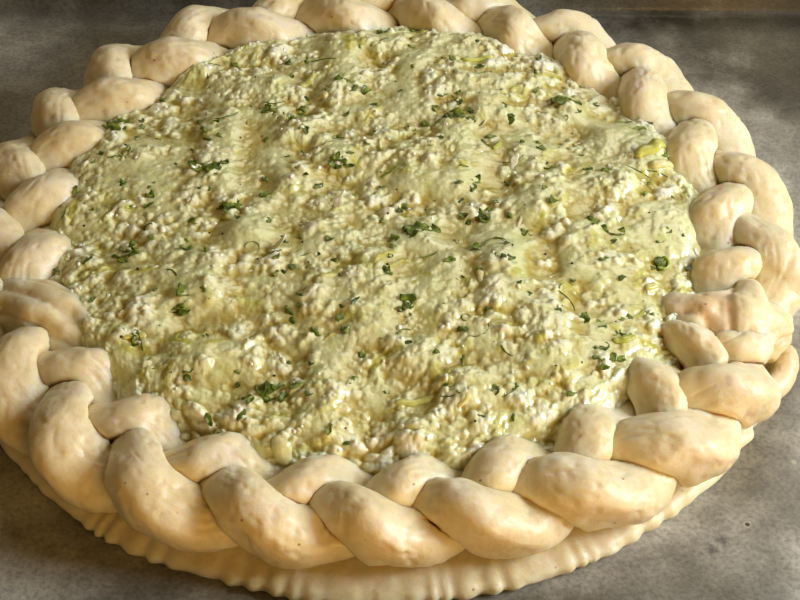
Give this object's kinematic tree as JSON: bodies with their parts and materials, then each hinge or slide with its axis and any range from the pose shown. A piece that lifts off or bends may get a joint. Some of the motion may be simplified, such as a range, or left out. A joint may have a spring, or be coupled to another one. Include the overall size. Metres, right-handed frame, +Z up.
{
  "type": "raw zucchini tart in its oven tray",
  "caption": "Raw zucchini and cheese tart with a braided dough rim on a flat dough base, standing in an enamelled oven tray.",
  "frame": {"origin": "middle of the tray's flat underside, on the surface that the tray stands on", "axes": "+X along the tray's long side, towards the braids' pinched knot; +Y towards the back of the tart; +Z up"},
  "size_m": [0.465, 0.375, 0.0408],
  "materials": {
    "tray_enamel": "worn, speckled grey enamel, satin",
    "raw_dough": "soft satin raw wheat dough",
    "cheese_filling": "wet, glossy cheese, egg and grated zucchini",
    "zucchini_green": "wet raw zucchini shreds",
    "herb_green": "wet chopped herbs"
  },
  "bodies": {
    "root": {"tray": "tray_enamel", "dough_base": "raw_dough", "filling": "cheese_filling", "front_strand_a": "raw_dough", "front_strand_b": "raw_dough", "front_strand_c": "raw_dough", "rear_strand_a": "raw_dough", "rear_strand_b": "raw_dough", "rear_strand_c": "raw_dough", "braid_end_left": "raw_dough", "braid_end_right": "raw_dough"}
  },
  "joints": []
}
